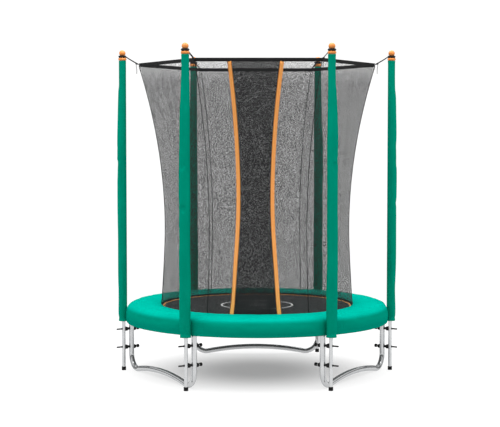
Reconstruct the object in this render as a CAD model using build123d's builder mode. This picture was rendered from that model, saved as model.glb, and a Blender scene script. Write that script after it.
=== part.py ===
from build123d import *

import os
from math import cos, degrees, hypot, radians, sin, sqrt

# Round backyard trampoline with an hourglass safety net on six sleeved poles.
# Millimetres. Origin on the ground at the centre, +Z up, entrance facing -Y.

# ---------------------------------------------------------------- driving dimensions
pole_circle = 949.0          # radius of the circle through the six pole axes
clamp_pitch = 61.0           # pole axis to leg upright axis, along the clamp bolt
frame_tube = 38.0            # outside diameter of rails and legs
frame_wall = 1.5
ring_height = 442.0          # centreline of the frame ring above the ground
fit_gap = 0.1                # radial play where one tube slides into another

leg_bend = 95.0              # centreline radius of the bends at the foot of a leg
leg_arch = 10.7              # degrees the base rises towards its middle
leg_joint_height = 250.0     # leg base ends and leg extension starts
socket_bottom = 372.0        # lower end of the sockets welded under the rails
neck_length = 34.0           # length of every swaged frame tube end

pole_tube = 25.4
pole_wall = 1.2
pole_joint_height = 1180.0
pole_top = 2196.0
pole_neck_length = 70.0
foot_plug_radius = 15.2
clamp_heights = (166.0, 295.0)
bolt_size = 8.0
bolt_hole = 8.8
screw_hole = 6.4             # for the screw that locks a leg in its socket
screw_rise = 16.0            # that screw above the lower end of the socket

# Outline of a sleeve: height, radius, and how far its middle hangs outwards of the pole.
sleeve_outline = (
    (350.0, 36.0, 3.8),
    (600.0, 36.6, 6.0),
    (1200.0, 36.3, 8.0),
    (1500.0, 35.6, 7.5),
    (1700.0, 33.6, 5.5),
    (1880.0, 31.2, 3.5),
    (2040.0, 28.4, 1.6),
    (2194.0, 27.2, 0.0),
)
sleeve_cloth = 2.0
sleeve_bottom = sleeve_outline[0][0]
sleeve_top = sleeve_outline[-1][0]
foam_radius = 23.5

cap_flange_radius = 28.5
cap_flange_height = 18.0
cap_neck_radius = 15.0
ball_radius = 22.5
ball_height = 2246.5
neck_band_radius = 24.5
neck_band_bottom = 2214.5
neck_band_top = 2230.5

rail_count = 6
springs_per_rail = 6
spring_count = rail_count * springs_per_rail

mat_top = 466.5
mat_radius = 676.0
hem_radius = 702.0
line_radius = 664.0          # coloured edge line on the mat
line_width = 8.0

pad_inner = 683.0
pad_outer = 926.0
pad_under = 472.0
pad_crown = 489.0
pad_skirt_bottom = 360.0
notch_radius = 38.5          # room in the cover for a sleeve
notch_shift = 4.0            # middle of that notch outwards of the pole

net_waist_height = 1007.0
net_waist_radius = 651.0     # corner radius of the net at its waist
net_top_radius = 835.0       # corner radius at the top band
net_bottom = 472.0
net_bottom_radius = 679.0
net_thickness = 3.0
band_bottom = 2155.0
band_height = 20.0
layer_gap = 10.0             # free space between the two entrance flaps

door_centre = -18.0
door_waist_height = 1200.0
door_waist = 113.0           # half width of the entrance where it is narrowest
door_top = 174.0             # half width at the top band
door_foot = 160.0            # half width at the spring cover
flap_bottom = 530.0
flap_top = 2140.0
tape_width = 26.0
cord_radius = 2.5
cord_tail_radius = 1.6
cord_tail = 70.0             # loose end of a cord hanging at the net corner

# ---------------------------------------------------------------- derived dimensions
pole_angles = [60 * k for k in range(6)]
leg_angles = [90, 210, 330]
upright_side = pole_circle * sin(radians(30))
leg_distance = pole_circle * cos(radians(30)) - clamp_pitch
ring_radius = hypot(leg_distance, upright_side)
socket_offset = 30 - Vector(leg_distance, upright_side).get_angle(Vector(1, 0))
neck_radius = frame_tube / 2 - frame_wall - fit_gap
neck_bore = neck_radius - frame_wall
step = 4.0                   # length over which a tube end closes down to its neck
pole_bore = pole_tube / 2 - pole_wall
screw_height = socket_bottom + screw_rise
hook_radius = ring_radius - 8    # spring hooks drop through the rail here
position_names = {
    0: "right",
    60: "rear_right",
    120: "rear_left",
    180: "left",
    240: "front_left",
    300: "front_right",
}

os.makedirs("parts", exist_ok=True)


def save(part, name):
    """Labels a finished piece and writes it under its node name."""
    part.label = name
    export_step(part, f"parts/{name}.step")


def direction(angle):
    return Vector(cos(radians(angle)), sin(radians(angle)), 0)


def upright_plane(origin, angle):
    """Vertical plane whose local x points outwards at the angle and whose local y is up."""
    return Plane(origin=origin, x_dir=direction(angle), z_dir=direction(angle - 90))


def pole_point(angle, height=0.0):
    return direction(angle) * pole_circle + Vector(0, 0, height)


def leg_normal(pole_angle):
    """Direction, in degrees, in which the leg beside a pole faces outwards."""
    return min(leg_angles, key=lambda leg: abs((pole_angle - leg + 180) % 360 - 180))


def vertical_axis(point):
    return Axis((point.X, point.Y, 0), (0, 0, 1))


def ring_solid(axis_point, angle, outer, inner, bottom, top, mode=Mode.ADD):
    """Revolves a tube about a vertical axis into the current part."""
    with BuildSketch(upright_plane(axis_point, angle)) as profile:
        with Locations(((outer + inner) / 2, (bottom + top) / 2)):
            Rectangle(outer - inner, top - bottom)
    revolve(profile.sketch, axis=vertical_axis(axis_point), mode=mode)


# ---------------------------------------------------------------- legs
def leg_plane(angle):
    """Plane of a leg: local x runs along the leg, local y is up, normal points outwards."""
    return Plane(origin=direction(angle) * leg_distance, x_dir=direction(angle + 90), z_dir=direction(angle))


def make_leg(angle):
    plane = leg_plane(angle)
    with BuildPart() as leg:
        with BuildLine(plane) as path:
            bend_top = frame_tube / 2 + leg_bend
            down = Line((-upright_side, leg_joint_height), (-upright_side, bend_top))
            bend = JernArc(down @ 1, (0, -1), leg_bend, 90 + leg_arch)
            rise_radius = -(bend @ 1 - plane.origin).dot(plane.x_dir) / sin(radians(leg_arch))
            arch = JernArc(bend @ 1, bend % 1, rise_radius, -2 * leg_arch)
            other_bend = JernArc(arch @ 1, arch % 1, leg_bend, 90 + leg_arch)
            Line(other_bend @ 1, other_bend @ 1 + (0, leg_joint_height - bend_top))
        with BuildSketch(Plane(origin=path.line @ 0, z_dir=path.line % 0)):
            Circle(frame_tube / 2)
            Circle(frame_tube / 2 - frame_wall, mode=Mode.SUBTRACT)
        sweep()
        for side in (-1, 1):
            foot = plane.from_local_coords(Vector(side * upright_side, 0))
            neck_top = leg_joint_height + neck_length
            ring_solid(foot, angle, frame_tube / 2, neck_bore, leg_joint_height - step, leg_joint_height)
            ring_solid(foot, angle, neck_radius, neck_bore, leg_joint_height, neck_top)
        with BuildSketch(plane):
            with Locations((-upright_side, clamp_heights[0]), (upright_side, clamp_heights[0])):
                Circle(bolt_hole / 2)
        extrude(amount=frame_tube, both=True, mode=Mode.SUBTRACT)
    return leg.part


leg_names = {90: "leg_rear", 210: "leg_left", 330: "leg_right"}
for leg_angle, leg_name in leg_names.items():
    save(make_leg(leg_angle), leg_name)

with BuildPart() as leg_extensions:
    for leg_angle in leg_angles:
        for side in (-1, 1):
            foot = leg_plane(leg_angle).from_local_coords(Vector(side * upright_side, 0))
            wall_inner = frame_tube / 2 - frame_wall
            ring_solid(foot, leg_angle, frame_tube / 2, wall_inner, leg_joint_height, socket_bottom)
            ring_solid(foot, leg_angle, frame_tube / 2, neck_bore, socket_bottom - step, socket_bottom)
            ring_solid(foot, leg_angle, neck_radius, neck_bore, socket_bottom, socket_bottom + neck_length)
        with BuildSketch(leg_plane(leg_angle)):
            with Locations((-upright_side, clamp_heights[1]), (upright_side, clamp_heights[1])):
                Circle(bolt_hole / 2)
        extrude(amount=frame_tube, both=True, mode=Mode.SUBTRACT)
        with BuildSketch(leg_plane(leg_angle)):
            with Locations((-upright_side, screw_height), (upright_side, screw_height)):
                Circle(screw_hole / 2)
        extrude(amount=frame_tube, both=True, mode=Mode.SUBTRACT)
save(leg_extensions.part, "leg_extensions")

# ---------------------------------------------------------------- frame rails
hook_hole = 8.0
rail_lip = 0.3    # degrees of arc that close the step down to the neck


def socket_angle(pole_angle):
    """Angle about the centre at which the leg upright beside a pole meets the ring."""
    leg = leg_normal(pole_angle)
    toward_pole = 1 if (pole_angle - leg + 180) % 360 - 180 > 0 else -1
    return pole_angle + toward_pole * socket_offset


def make_rail(socket_side):
    """Rail centred on +X, with its leg socket on the side of the centre that is asked for."""
    bore = frame_tube / 2 - frame_wall
    neck_arc = degrees(neck_length / ring_radius)
    socket = direction(socket_side * socket_offset) * ring_radius
    screw_axis = direction(-socket_side * 30)
    with BuildPart() as rail:
        with BuildSketch(upright_plane((0, 0, 0), -30)):
            with Locations((ring_radius, ring_height)):
                Circle(frame_tube / 2)
                Circle(bore, mode=Mode.SUBTRACT)
        revolve(axis=Axis.Z, revolution_arc=60)
        with BuildSketch(upright_plane((0, 0, 0), 30 - rail_lip)):
            with Locations((ring_radius, ring_height)):
                Circle(frame_tube / 2)
                Circle(neck_bore, mode=Mode.SUBTRACT)
        revolve(axis=Axis.Z, revolution_arc=rail_lip)
        with BuildSketch(upright_plane((0, 0, 0), 30)):
            with Locations((ring_radius, ring_height)):
                Circle(neck_radius)
                Circle(neck_bore, mode=Mode.SUBTRACT)
        revolve(axis=Axis.Z, revolution_arc=neck_arc)
        with BuildSketch(Plane.XY.offset(socket_bottom)):
            with Locations((socket.X, socket.Y)):
                Circle(frame_tube / 2)
        extrude(amount=ring_height - socket_bottom - bore)
        with BuildSketch(Plane.XY.offset(socket_bottom)):
            with Locations((socket.X, socket.Y)):
                Circle(bore)
        extrude(amount=ring_height - socket_bottom - bore - 2 * frame_wall, mode=Mode.SUBTRACT)
        with BuildSketch(upright_plane((0, 0, 0), -30)):
            with Locations((ring_radius, ring_height)):
                Circle(bore)
        revolve(axis=Axis.Z, revolution_arc=60 - rail_lip, mode=Mode.SUBTRACT)
        with BuildSketch(Plane.XY.offset(ring_height)):
            for k in range(springs_per_rail):
                hook = direction(10 * k - 25) * hook_radius
                with Locations((hook.X, hook.Y)):
                    Circle(hook_hole / 2)
        extrude(amount=frame_tube, mode=Mode.SUBTRACT)
        with BuildSketch(Plane(origin=socket + Vector(0, 0, screw_height), z_dir=screw_axis)):
            Circle(screw_hole / 2)
        extrude(amount=frame_tube / 2 + 1, both=True, mode=Mode.SUBTRACT)
    return rail.part


rail_shapes = {side: make_rail(side) for side in (-1, 1)}
for pole_angle in pole_angles:
    side = 1 if socket_angle(pole_angle) > pole_angle else -1
    with BuildPart() as frame_rail:
        add(rail_shapes[side], rotation=(0, 0, pole_angle))
    save(frame_rail.part, f"frame_rail_{position_names[pole_angle]}")

screw_size = 6.0
screw_length = 9.0
screw_head_radius = 5.8
screw_head_height = 4.0
with BuildPart() as socket_screws:
    for pole_angle in pole_angles:
        socket = direction(socket_angle(pole_angle)) * ring_radius
        normal = direction(leg_normal(pole_angle))
        head_face = socket + Vector(0, 0, screw_height) - normal * (frame_tube / 2 + 0.4)
        with BuildSketch(Plane(origin=head_face, z_dir=normal)):
            Circle(screw_size / 2)
        extrude(amount=screw_length)
        with BuildSketch(Plane(origin=head_face, z_dir=-normal)):
            RegularPolygon(screw_head_radius, 6)
        extrude(amount=screw_head_height)
save(socket_screws.part, "socket_screws")

# ---------------------------------------------------------------- net poles
def pole_holes(angle):
    """Sketch of the two clamp bolt holes of a pole."""
    plane = Plane(
        origin=pole_point(angle), x_dir=direction(leg_normal(angle) + 90), z_dir=direction(leg_normal(angle))
    )
    with BuildSketch(plane) as holes:
        with Locations(*[(0, height) for height in clamp_heights]):
            Circle(bolt_hole / 2)
    return holes.sketch


pole_neck = pole_bore - fit_gap
pole_neck_bore = pole_neck - pole_wall
pole_neck_top = pole_joint_height + pole_neck_length
pole_step_bottom = pole_joint_height - step
plug_floor = 4.0
foot_plug_height = 25.0
for pole_angle in pole_angles:
    base = pole_point(pole_angle)
    with BuildPart() as pole_lower:
        ring_solid(base, pole_angle, pole_tube / 2, pole_bore, plug_floor, pole_joint_height)
        ring_solid(base, pole_angle, pole_tube / 2, pole_neck_bore, pole_step_bottom, pole_joint_height)
        ring_solid(base, pole_angle, pole_neck, pole_neck_bore, pole_joint_height, pole_neck_top)
        extrude(pole_holes(pole_angle), amount=pole_tube, both=True, mode=Mode.SUBTRACT)
    save(pole_lower.part, f"pole_lower_{position_names[pole_angle]}")

with BuildPart() as poles_upper:
    for pole_angle in pole_angles:
        ring_solid(pole_point(pole_angle), pole_angle, pole_tube / 2, pole_bore, pole_joint_height, pole_top)
save(poles_upper.part, "poles_upper")

foam_bore = pole_tube / 2 + 2 * fit_gap
with BuildPart() as pole_foam:
    for pole_angle in pole_angles:
        base = pole_point(pole_angle)
        ring_solid(base, pole_angle, foam_radius, foam_bore, sleeve_bottom + 3, sleeve_top - 3)
save(pole_foam.part, "pole_foam")

with BuildPart() as foot_plugs:
    for pole_angle in pole_angles:
        base = pole_point(pole_angle)
        ring_solid(base, pole_angle, foot_plug_radius, pole_tube / 2 + fit_gap, 0, foot_plug_height)
        with BuildSketch(Plane.XY):
            with Locations((base.X, base.Y)):
                Circle(foot_plug_radius)
        extrude(amount=plug_floor)
save(foot_plugs.part, "foot_plugs")


def sleeve_solid(angle, inset, mode=Mode.ADD):
    """Lofts the outline of a sleeve, made smaller all round by the inset, into the current part."""
    sections = []
    for height, radius, shift in sleeve_outline:
        middle = pole_point(angle) + direction(angle) * shift
        with BuildSketch(Plane.XY.offset(height)) as section:
            with Locations((middle.X, middle.Y)):
                Circle(radius - inset)
        sections.append(section.sketch)
    loft(sections, ruled=True, mode=mode)


def make_sleeve(angle):
    """Fabric tube that is snug at its top and hangs looser from the shoulder down."""
    with BuildPart() as sleeve:
        sleeve_solid(angle, 0)
        sleeve_solid(angle, sleeve_cloth, mode=Mode.SUBTRACT)
    return sleeve.part


cap_plug_length = 46.0
cap_plug_bore = 7.0


def make_cap(angle):
    """Moulded cap: plug in the tube, rounded flange, neck and ball."""
    base = pole_point(angle)
    with BuildPart() as cap:
        ring_solid(base, angle, pole_neck, cap_plug_bore, pole_top - cap_plug_length, pole_top)
        with BuildSketch(Plane.XY.offset(pole_top)):
            with Locations((base.X, base.Y)):
                Circle(cap_flange_radius)
        extrude(amount=cap_flange_height)
        fillet(cap.edges().filter_by(GeomType.CIRCLE).group_by(SortBy.RADIUS)[-1], cap_flange_height / 3)
        with BuildSketch(Plane.XY.offset(pole_top + cap_flange_height / 2)):
            with Locations((base.X, base.Y)):
                Circle(cap_neck_radius)
        extrude(amount=ball_height - pole_top - cap_flange_height / 2)
        with Locations((base.X, base.Y, ball_height)):
            Sphere(ball_radius)
    return cap.part


for pole_angle in pole_angles:
    save(make_sleeve(pole_angle), f"pole_sleeve_{position_names[pole_angle]}")
    save(make_cap(pole_angle), f"pole_cap_{position_names[pole_angle]}")

with BuildPart() as neck_bands:
    for pole_angle in pole_angles:
        base = pole_point(pole_angle)
        ring_solid(base, pole_angle, neck_band_radius, cap_neck_radius + 1.5, neck_band_bottom, neck_band_top)
save(neck_bands.part, "neck_bands")

# ---------------------------------------------------------------- pole clamps
# A clamp is drawn with the bolt along local Z, the pole axis through the origin along Y
# and the leg upright one clamp pitch further along Z.
thread_outer_end = -50.0
thread_inner_end = 113.0
back_face = clamp_pitch + frame_tube / 2 + 13
nut_height = 6.5
knob_face = back_face + 8
knob_radius = 12.0
knob_length = 18.0
saddle_height = 28.0
saddle_corner = 3.0
# Distance along the bolt and half height.
spacer_profile = ((6.0, 14.0), (24.0, 13.5), (30.0, 6.5), (48.0, 6.5))
back_profile = ((65.0, 14.0), (82.0, 13.0), (94.0, 7.5))
spacer_width = 27.0
spacer_depth = 40.0
back_saddle_width = 29.0
back_saddle_depth = 24.0
nut_radius = 7.5
cover_flange_start = -15.6
cover_flange_radius = 7.0
cover_radius = 5.2
cover_end = -54.0


def at_clamps(piece):
    """Copies a clamp piece to both clamps of all six poles."""
    planes = []
    for angle in pole_angles:
        normal = leg_normal(angle)
        for height in clamp_heights:
            origin = pole_point(angle, height)
            planes.append(Plane(origin=origin, x_dir=direction(normal - 90), z_dir=direction(normal + 180)))
    with BuildPart() as group:
        with Locations(*[plane.location for plane in planes]):
            add(piece)
    return group.part


def drill(radius, start, end):
    with BuildSketch(Plane.XY.offset(start)) as hole:
        Circle(radius)
    extrude(hole.sketch, amount=end - start, mode=Mode.SUBTRACT)


def trim_height(profile):
    """Keeps what lies within the half heights given along the bolt."""
    upper = [(half, along) for along, half in profile]
    lower = [(-half, along) for along, half in reversed(profile)]
    with BuildSketch(Plane.YZ) as side:
        with BuildLine():
            Polyline(*upper, *lower, close=True)
        make_face()
    extrude(side.sketch, amount=back_saddle_width, both=True, mode=Mode.INTERSECT)


with BuildPart() as bolt:
    with BuildSketch(Plane.XY.offset(thread_outer_end)):
        Circle(bolt_size / 2)
    extrude(amount=thread_inner_end - thread_outer_end)
    chamfer(bolt.edges().filter_by(GeomType.CIRCLE), 0.8)
save(at_clamps(bolt.part), "clamp_bolts")

with BuildPart() as thread_cover:
    with BuildSketch(Plane.XY.offset(cover_flange_start)):
        Circle(cover_flange_radius)
    extrude(amount=2)
    with BuildSketch(Plane.XY.offset(cover_end)):
        Circle(cover_radius)
    extrude(amount=cover_flange_start + 1 - cover_end)
    drill(bolt_size / 2 + fit_gap, thread_outer_end - 0.5, 0)
save(at_clamps(thread_cover.part), "clamp_thread_covers")

with BuildPart() as spacer:
    with BuildSketch(Plane.XZ):
        with Locations((0, 27)):
            RectangleRounded(spacer_width, spacer_depth, saddle_corner)
        Circle(pole_tube / 2 + fit_gap, mode=Mode.SUBTRACT)
        with Locations((0, clamp_pitch)):
            Circle(frame_tube / 2 + fit_gap, mode=Mode.SUBTRACT)
    extrude(amount=saddle_height / 2, both=True)
    trim_height(spacer_profile)
    drill(bolt_size / 2 + fit_gap, 0, clamp_pitch)
save(at_clamps(spacer.part), "clamp_spacers")

with BuildPart() as back_saddle:
    with BuildSketch(Plane.XZ):
        with Locations((0, back_face - back_saddle_depth / 2)):
            RectangleRounded(back_saddle_width, back_saddle_depth, saddle_corner)
        with Locations((0, clamp_pitch)):
            Circle(frame_tube / 2 + fit_gap, mode=Mode.SUBTRACT)
    extrude(amount=saddle_height / 2, both=True)
    trim_height(back_profile)
    drill(bolt_size / 2 + fit_gap, clamp_pitch, back_face + 1)
save(at_clamps(back_saddle.part), "clamp_back_saddles")

with BuildPart() as nut:
    with BuildSketch(Plane.XY.offset(back_face)):
        RegularPolygon(nut_radius, 6)
        Circle(bolt_size / 2 + fit_gap / 2, mode=Mode.SUBTRACT)
    extrude(amount=nut_height)
save(at_clamps(nut.part), "clamp_nuts")

with BuildPart() as knob:
    with BuildSketch(Plane.XY.offset(knob_face)):
        Circle(knob_radius)
    extrude(amount=knob_length)
    fillet(knob.edges().filter_by(GeomType.CIRCLE), 5)
    drill(bolt_size / 2 + fit_gap, knob_face - 1, thread_inner_end + 0.5)
save(at_clamps(knob.part), "clamp_knobs")

# ---------------------------------------------------------------- mat, hem and V rings
hem_under = 459.5
hem_top = 467.0
wire_height = 463.5
v_bar_radius = 694.5
v_half_width = 28.0
v_apex_radius = 727.0
v_wire = 2.0
mat_thickness = 2.5
window = 14.0    # opening in the hem that shows each end of a V ring

with BuildPart() as mat:
    with BuildSketch(Plane.XY.offset(mat_top)):
        Circle(mat_radius)
    extrude(amount=-mat_thickness)
save(mat.part, "mat")

with BuildPart() as mat_edge_line:
    with BuildSketch(Plane.XY.offset(mat_top)):
        Circle(line_radius + line_width / 2)
        Circle(line_radius - line_width / 2, mode=Mode.SUBTRACT)
    extrude(amount=0.8)
save(mat_edge_line.part, "mat_edge_line")

with BuildPart() as mat_hem:
    with BuildSketch(Plane.XY.offset(hem_under)):
        Circle(hem_radius)
        Circle(mat_radius, mode=Mode.SUBTRACT)
    extrude(amount=hem_top - hem_under)
    with BuildSketch(Plane.XZ):
        with Locations((v_bar_radius, wire_height)):
            Circle(v_wire + 0.9)
    revolve(axis=Axis.Z, mode=Mode.SUBTRACT)
    with BuildSketch(Plane.XY.offset(hem_under - 1)):
        with PolarLocations(0, spring_count, start_angle=5):
            with Locations((v_bar_radius + window / 4, 24), (v_bar_radius + window / 4, -24)):
                Rectangle(window, window)
    extrude(amount=hem_top - hem_under + 2, mode=Mode.SUBTRACT)
save(mat_hem.part, "mat_hem")

with BuildPart() as v_ring:
    with BuildLine(Plane.XY.offset(wire_height)) as v_path:
        FilletPolyline(
            (v_bar_radius, v_half_width),
            (v_apex_radius, 0),
            (v_bar_radius, -v_half_width),
            radius=4,
            close=True,
        )
    with BuildSketch(Plane(origin=v_path.line @ 0, z_dir=v_path.line % 0)):
        Circle(v_wire)
    sweep()

with BuildPart() as v_rings:
    with PolarLocations(0, spring_count, start_angle=5):
        add(v_ring.part)
save(v_rings.part, "v_rings")

# ---------------------------------------------------------------- springs
spring_radius = 8.5
spring_wire = 1.4
coil_wall = 2.8
hook_loop = 4.4
spring_height = 459.5
coil_start = 745.0
coil_end = 861.0
inner_hook_height = wire_height
outer_hook_height = 462.3

with BuildPart() as spring:
    with BuildSketch(Plane.YZ.offset(coil_start)):
        with Locations((0, spring_height)):
            Circle(spring_radius)
    extrude(amount=coil_end - coil_start)
    with BuildSketch(Plane.YZ.offset(coil_start + 3)):
        with Locations((0, spring_height)):
            Circle(spring_radius - coil_wall)
    extrude(amount=coil_end - coil_start - 6, mode=Mode.SUBTRACT)
    apex_wire = v_apex_radius - 1.7
    with Locations(Location((apex_wire, 0, inner_hook_height), (90, 0, 0))):
        Torus(hook_loop, spring_wire)
    with BuildSketch(Plane.YZ.offset(apex_wire + hook_loop + 0.2)):
        with Locations((0, inner_hook_height)):
            Circle(spring_wire)
    extrude(amount=coil_start - apex_wire - 4)
    with BuildLine(Plane.XZ) as outer_hook:
        FilletPolyline(
            (coil_end - 1, outer_hook_height), (hook_radius, outer_hook_height), (hook_radius, 452), radius=3
        )
    with BuildSketch(Plane(origin=outer_hook.line @ 0, z_dir=outer_hook.line % 0)):
        Circle(spring_wire)
    sweep(path=outer_hook.line)

with BuildPart() as springs:
    with PolarLocations(0, spring_count, start_angle=5):
        add(spring.part)
save(springs.part, "springs")

# ---------------------------------------------------------------- spring cover
skirt_inner = pad_outer - 4.5
pad_shoulder = 431.0
skirt_root = 448.0

with BuildPart() as pad:
    with BuildSketch(Plane.XZ):
        with BuildLine():
            Polyline(
                (skirt_inner, pad_skirt_bottom),
                (pad_outer, pad_skirt_bottom),
                (pad_outer, pad_shoulder),
            )
            Spline(
                (pad_outer, pad_shoulder),
                (pad_outer - 18, pad_crown - 14),
                (pad_outer - 70, pad_crown),
                (pad_inner + 70, pad_crown - 2),
                (pad_inner + 6, pad_under + 7),
            )
            Polyline(
                (pad_inner + 6, pad_under + 7),
                (pad_inner, pad_under + 5),
                (pad_inner, pad_under),
                (skirt_inner - 21, pad_under),
            )
            Spline(
                (skirt_inner - 21, pad_under),
                (skirt_inner, skirt_root),
                tangents=((1, 0), (0, -1)),
            )
            Line((skirt_inner, skirt_root), (skirt_inner, pad_skirt_bottom))
        make_face()
    revolve(axis=Axis.Z)
    with BuildSketch(Plane.XY.offset(pad_skirt_bottom - 10)):
        with PolarLocations(pole_circle + notch_shift, len(pole_angles)):
            Circle(notch_radius)
    extrude(amount=200, mode=Mode.SUBTRACT)
save(pad.part, "pad")

strap_gap = 0.8
strap_cloth = 1.2
strap_width = 18.0
strap_radius = frame_tube / 2 + strap_gap + strap_cloth
strap_middle = strap_radius - strap_cloth / 2
with BuildPart() as pad_straps:
    for rail_angle in pole_angles:
        for strap_angle in (rail_angle - 10, rail_angle + 10):
            with BuildSketch(upright_plane((0, 0, 0), strap_angle)):
                with Locations((ring_radius, ring_height)):
                    Circle(strap_radius)
                    Circle(strap_radius - strap_cloth, mode=Mode.SUBTRACT)
                with Locations((ring_radius, ring_height + 15)):
                    Rectangle(60, 30, mode=Mode.SUBTRACT)
                with Locations((ring_radius - strap_middle, ring_height + 14.5)):
                    Rectangle(strap_cloth, 29)
                with Locations((ring_radius + strap_middle, ring_height + 6)):
                    Rectangle(strap_cloth, 12)
            extrude(amount=strap_width / 2, both=True)
save(pad_straps.part, "pad_straps")


# ---------------------------------------------------------------- net
def corner_radius(height):
    """Radius at which the net's six corners stand: narrow at the waist, wide at both ends."""
    if height > net_waist_height:
        share = (height - net_waist_height) / (band_bottom + band_height / 2 - net_waist_height)
        return net_waist_radius + (net_top_radius - net_waist_radius) * share**2
    share = (net_waist_height - height) / (net_waist_height - net_bottom)
    return net_waist_radius + (net_bottom_radius - net_waist_radius) * share**1.5


def roundness(height):
    """0 where the net is a straight-sided hexagon, 1 where it is a full circle."""
    share = (height - net_bottom) / (band_bottom + band_height - net_bottom)
    return max(0.02, 1 - share**1.5)


def panel_y(x, height, depth):
    """Y of a panel that faces -Y, at a height and a depth behind its outer surface."""
    corner = corner_radius(height)
    flat = corner * cos(radians(30))
    bulge = (corner - flat) * roundness(height)
    arc_radius = ((corner / 2) ** 2 + bulge**2) / (2 * bulge)
    return arc_radius - flat - bulge - sqrt((arc_radius - depth) ** 2 - x**2)


def door_half_width(height):
    if height > door_waist_height:
        share = (height - door_waist_height) / (band_bottom - 1 - door_waist_height)
        return door_waist + (door_top - door_waist) * share**2
    share = (door_waist_height - height) / (door_waist_height - net_bottom)
    return door_waist + (door_foot - door_waist) * share**1.3


def door_left(height):
    return door_centre - door_half_width(height)


def door_right(height):
    return door_centre + door_half_width(height)


def corner_x(height):
    return corner_radius(height) / 2 - 2.5


def net_strip(rotation, left, right, bottom, top, depth=0.0, thickness=net_thickness):
    """Upright strip of net between two edges given as functions of height."""
    steps = 8
    with BuildPart() as strip:
        for k in range(steps + 1):
            height = bottom + (top - bottom) * k / steps
            low = left(height)
            high = right(height)
            middle = (low + high) / 2
            with BuildSketch(Plane.XY.offset(height).rotated((0, 0, rotation))):
                with BuildLine():
                    outer = [(x, panel_y(x, height, depth)) for x in (low, middle, high)]
                    inner = [(x, panel_y(x, height, depth + thickness)) for x in (low, middle, high)]
                    ThreePointArc(*outer)
                    Line(outer[2], inner[2])
                    ThreePointArc(*reversed(inner))
                    Line(inner[0], outer[0])
                make_face()
        loft()
    return strip.part


half_tape = tape_width / 2
net_top = band_bottom - 2
inner_layer = net_thickness + layer_gap
panel_names = {60: "right_front", 120: "right_rear", 180: "rear", 240: "left_rear", 300: "left_front"}
for turn, panel_name in panel_names.items():
    panel = net_strip(turn, lambda z: -corner_x(z), corner_x, net_bottom, net_top)
    save(panel, f"net_panel_{panel_name}")

def left_seam_outside(height):
    return door_left(height) - half_tape


def left_seam_inside(height):
    return door_left(height) + half_tape


def right_seam_inside(height):
    return door_right(height) - half_tape


def right_seam_outside(height):
    return door_right(height) + half_tape


front_left = net_strip(0, lambda z: -corner_x(z), lambda z: left_seam_outside(z) - 1, net_bottom, net_top)
save(front_left, "net_panel_front_left")
front_right = net_strip(0, lambda z: right_seam_outside(z) + 3, corner_x, net_bottom, net_top)
save(front_right, "net_panel_front_right")

left_seam = net_strip(0, left_seam_outside, left_seam_inside, net_bottom, net_top)
right_seam = net_strip(
    0, lambda z: right_seam_inside(z) + 3, right_seam_outside, net_bottom, net_top, inner_layer
)
with BuildPart() as seam_tapes:
    add(left_seam)
    add(right_seam)
save(seam_tapes.part, "entrance_seam_tapes")

outer_flap = net_strip(
    0, lambda z: left_seam_inside(z) + 2, lambda z: right_seam_inside(z) - 0.5, flap_bottom, flap_top
)
save(outer_flap, "outer_flap")
outer_tape = net_strip(0, right_seam_inside, right_seam_outside, flap_bottom, flap_top)
save(outer_tape, "outer_flap_tape")
inner_flap = net_strip(
    0,
    lambda z: left_seam_inside(z) + 0.5,
    lambda z: right_seam_inside(z) + 1,
    flap_bottom,
    flap_top,
    inner_layer,
)
save(inner_flap, "inner_flap")
inner_tape = net_strip(0, left_seam_outside, left_seam_inside, flap_bottom, flap_top, inner_layer)
save(inner_tape, "inner_flap_tape")

with BuildPart() as net_top_band:
    with BuildSketch(Plane.XY.offset(band_bottom)):
        RegularPolygon(net_top_radius + 1.5, 6)
        RegularPolygon(net_top_radius - 2, 6, mode=Mode.SUBTRACT)
    extrude(amount=band_height)
save(net_top_band.part, "net_top_band")

cord_start = (919.0, 2222.0)    # on the neck band of a cap: radius and height
cord_end = (net_top_radius + 6, band_bottom + band_height / 2)
tail_radius = 856.0
tail_top = 2176.0
with BuildPart() as net_cords:
    for pole_angle in pole_angles:
        plane = upright_plane((0, 0, 0), pole_angle)
        with BuildLine(plane) as main_cord:
            Line(cord_start, cord_end)
        with BuildSketch(Plane(origin=main_cord.line @ 0, z_dir=main_cord.line % 0)):
            Circle(cord_radius)
        sweep(path=main_cord.line)
        with BuildLine(plane) as tail:
            Spline(
                (tail_radius, tail_top),
                (tail_radius + 3, tail_top - cord_tail / 2),
                (tail_radius, tail_top - cord_tail),
            )
        with BuildSketch(Plane(origin=tail.line @ 0, z_dir=tail.line % 0)):
            Circle(cord_tail_radius)
        sweep(path=tail.line)
save(net_cords.part, "net_cords")
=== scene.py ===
import math

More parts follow.
